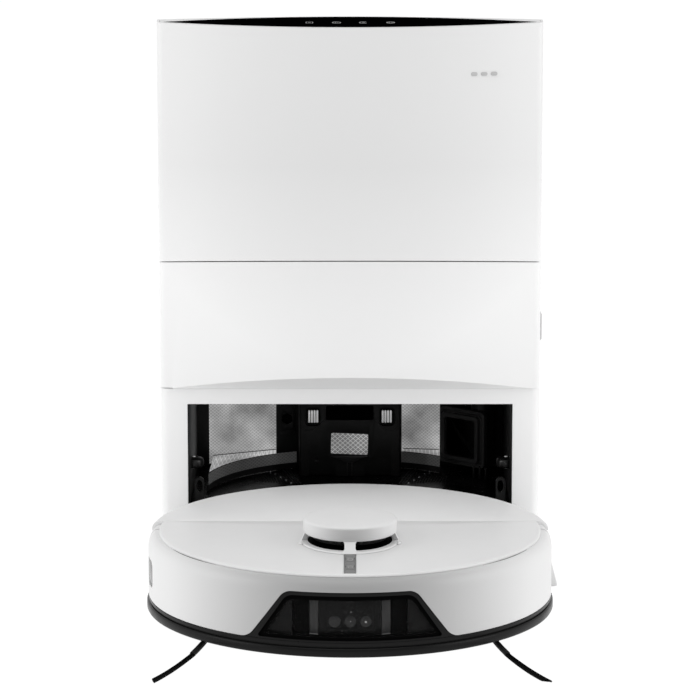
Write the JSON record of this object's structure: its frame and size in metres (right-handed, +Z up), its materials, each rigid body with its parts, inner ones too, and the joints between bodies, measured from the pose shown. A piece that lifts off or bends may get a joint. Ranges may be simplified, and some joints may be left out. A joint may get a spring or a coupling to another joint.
{
  "type": "robot vacuum with docking station",
  "caption": "Round robot vacuum and mop with a lidar turret, side brushes and spinning mops, in front of its tall self-emptying, mop-washing docking station.",
  "frame": {"origin": "floor level, under the middle of the whole object's box with the robot parked in front of the station", "axes": "+Z up, the robot's nose towards -Y, the station behind it towards +Y, +X to the viewer's right"},
  "size_m": [0.3592, 0.6307, 0.5119],
  "materials": {
    "white_shell": "satin",
    "gloss_black": "gloss",
    "satin_black": "satin",
    "black_glass": "polished",
    "grey_plastic": "satin",
    "reflective_film": "patterned",
    "contact_steel": "brushed",
    "rubber": "matte",
    "tank_plastic": "smoked",
    "bag_paper": "matte",
    "mop_cloth": "looped"
  },
  "bodies": {
    "station": {"lower_housing": "white_shell", "base_plate": "satin_black", "rubber_foot": "rubber", "bay_liner": "gloss_black", "wash_tray": "satin_black", "tray_shelf": "gloss_black", "basin_wall_left": "reflective_film", "basin_wall_right": "reflective_film", "contact_tower": "satin_black", "ir_window": "black_glass", "reflector_left": "reflective_film", "reflector_right": "reflective_film", "reflector_center": "reflective_film", "suction_port": "rubber", "dust_duct": "satin_black", "mid_housing": "white_shell", "dust_bag": "bag_paper", "station_fan": "satin_black", "power_inlet": "satin_black", "upper_housing": "white_shell", "clean_tank": "tank_plastic", "dirty_tank": "tank_plastic"},
    "station_lid": {"top_lid": "white_shell", "control_panel": "black_glass"},
    "station_door": {"dust_door": "white_shell"},
    "latch": {"door_latch": "grey_plastic"},
    "contact_l": {"contact_left": "contact_steel"},
    "contact_r": {"contact_right": "contact_steel"},
    "roller_l": {"guide_roller_left": "satin_black"},
    "roller_r": {"guide_roller_right": "satin_black"},
    "robot": {"chassis": "satin_black", "side_shell": "white_shell", "front_deck": "white_shell", "turret": "white_shell", "button_strip": "grey_plastic", "battery": "gloss_black", "fan_unit": "satin_black", "dust_bin": "tank_plastic", "camera_module": "satin_black"},
    "bumper": {"bumper": "white_shell", "bumper_trim": "gloss_black", "sensor_window": "black_glass", "wall_sensor_window": "grey_plastic"},
    "cover": {"rear_cover": "white_shell"},
    "lidar": {"lidar_head": "black_glass"},
    "power_key": {"power_button": "grey_plastic"},
    "home_key": {"home_button": "grey_plastic"},
    "flap": {"dust_flap": "white_shell"},
    "arm_l": {"wheel_arm_left": "satin_black"},
    "arm_r": {"wheel_arm_right": "satin_black"},
    "wheel_l": {"wheel_left": "rubber"},
    "wheel_r": {"wheel_right": "rubber"},
    "caster_swivel": {"caster_fork": "satin_black"},
    "caster_roller": {"caster_wheel": "rubber"},
    "brush_l": {"side_brush_left": "rubber"},
    "brush_r": {"side_brush_right": "rubber"},
    "roller_brush": {"main_brush": "grey_plastic"},
    "mop_lift": {"mop_lift_frame": "satin_black"},
    "mop_l": {"mop_left": "mop_cloth"},
    "mop_r": {"mop_right": "mop_cloth"}
  },
  "joints": [
    {"name": "dock_drive", "type": "slide", "parent": "station", "child": "robot", "axis": [0, -1, 0], "range_m": [-0.086, 0.25]},
    {"name": "lid_hinge", "type": "hinge", "parent": "station", "child": "station_lid", "pos_m": [0, 0.305, 0.486], "axis": [-1, 0, 0], "range_deg": [0, 80]},
    {"name": "door_hinge", "type": "hinge", "parent": "station", "child": "station_door", "pos_m": [-0.173, 0.0637, 0.23], "axis": [0, 0, -1], "range_deg": [0, 95]},
    {"name": "latch_press", "type": "slide", "parent": "station", "child": "latch", "axis": [-1, 0, 0], "range_m": [0, 0.0015], "stiffness_N_per_m": 800},
    {"name": "contact_press_left", "type": "slide", "parent": "station", "child": "contact_l", "axis": [0, 1, 0], "range_m": [0, 0.002], "stiffness_N_per_m": 500},
    {"name": "contact_press_right", "type": "slide", "parent": "station", "child": "contact_r", "axis": [0, 1, 0], "range_m": [0, 0.002], "stiffness_N_per_m": 500},
    {"name": "guide_roller_spin_left", "type": "hinge", "parent": "station", "child": "roller_l", "pos_m": [-0.147, 0.122, 0.089], "axis": [0, 0, 1], "continuous": true},
    {"name": "guide_roller_spin_right", "type": "hinge", "parent": "station", "child": "roller_r", "pos_m": [0.147, 0.122, 0.089], "axis": [0, 0, 1], "continuous": true},
    {"name": "bumper_press", "type": "slide", "parent": "robot", "child": "bumper", "axis": [0, 1, 0], "range_m": [0, 0.003], "stiffness_N_per_m": 1500},
    {"name": "cover_hinge", "type": "hinge", "parent": "robot", "child": "cover", "pos_m": [0, -0.104, 0.085], "axis": [1, 0, 0], "range_deg": [0, 75]},
    {"name": "lidar_spin", "type": "hinge", "parent": "robot", "child": "lidar", "pos_m": [0, -0.173, 0.09], "axis": [0, 0, 1], "continuous": true},
    {"name": "power_press", "type": "slide", "parent": "robot", "child": "power_key", "axis": [0, 0, -1], "range_m": [0, 0.0005], "stiffness_N_per_m": 600},
    {"name": "home_press", "type": "slide", "parent": "robot", "child": "home_key", "axis": [0, 0, -1], "range_m": [0, 0.0005], "stiffness_N_per_m": 600},
    {"name": "dust_flap_hinge", "type": "hinge", "parent": "robot", "child": "flap", "pos_m": [0.17454, -0.10787, 0.0553], "axis": [0.1146, -0.9934, 0], "range_deg": [0, 40], "stiffness_Nm_per_rad": 0.05},
    {"name": "suspension_left", "type": "hinge", "parent": "robot", "child": "arm_l", "pos_m": [-0.0995, -0.164, 0.044], "axis": [1, 0, 0], "range_deg": [-8, 5], "stiffness_Nm_per_rad": 15},
    {"name": "suspension_right", "type": "hinge", "parent": "robot", "child": "arm_r", "pos_m": [0.0995, -0.164, 0.044], "axis": [1, 0, 0], "range_deg": [-8, 5], "stiffness_Nm_per_rad": 15},
    {"name": "wheel_spin_left", "type": "hinge", "parent": "arm_l", "child": "wheel_l", "pos_m": [-0.115, -0.116, 0.036], "axis": [1, 0, 0], "continuous": true},
    {"name": "wheel_spin_right", "type": "hinge", "parent": "arm_r", "child": "wheel_r", "pos_m": [0.115, -0.116, 0.036], "axis": [1, 0, 0], "continuous": true},
    {"name": "caster_turn", "type": "hinge", "parent": "robot", "child": "caster_swivel", "pos_m": [0, -0.186, 0.035], "axis": [0, 0, 1], "continuous": true},
    {"name": "caster_roll", "type": "hinge", "parent": "caster_swivel", "child": "caster_roller", "pos_m": [0, -0.178, 0.014], "axis": [1, 0, 0], "continuous": true},
    {"name": "side_brush_spin_left", "type": "hinge", "parent": "robot", "child": "brush_l", "pos_m": [-0.1185, -0.229, 0.01], "axis": [0, 0, -1], "continuous": true},
    {"name": "side_brush_spin_right", "type": "hinge", "parent": "robot", "child": "brush_r", "pos_m": [0.1185, -0.229, 0.01], "axis": [0, 0, 1], "continuous": true},
    {"name": "main_brush_spin", "type": "hinge", "parent": "robot", "child": "roller_brush", "pos_m": [0, -0.128, 0.0205], "axis": [1, 0, 0], "continuous": true},
    {"name": "mop_lower", "type": "slide", "parent": "robot", "child": "mop_lift", "axis": [0, 0, -1], "range_m": [0, 0.004]},
    {"name": "mop_spin_left", "type": "hinge", "parent": "mop_lift", "child": "mop_l", "pos_m": [-0.0625, -0.033, 0.015], "axis": [0, 0, 1], "continuous": true},
    {"name": "mop_spin_right", "type": "hinge", "parent": "mop_lift", "child": "mop_r", "pos_m": [0.0625, -0.033, 0.015], "axis": [0, 0, 1], "continuous": true}
  ],
  "couplings": [
    {"joint": "mop_spin_right", "follows": "mop_spin_left", "ratio": -1}
  ]
}
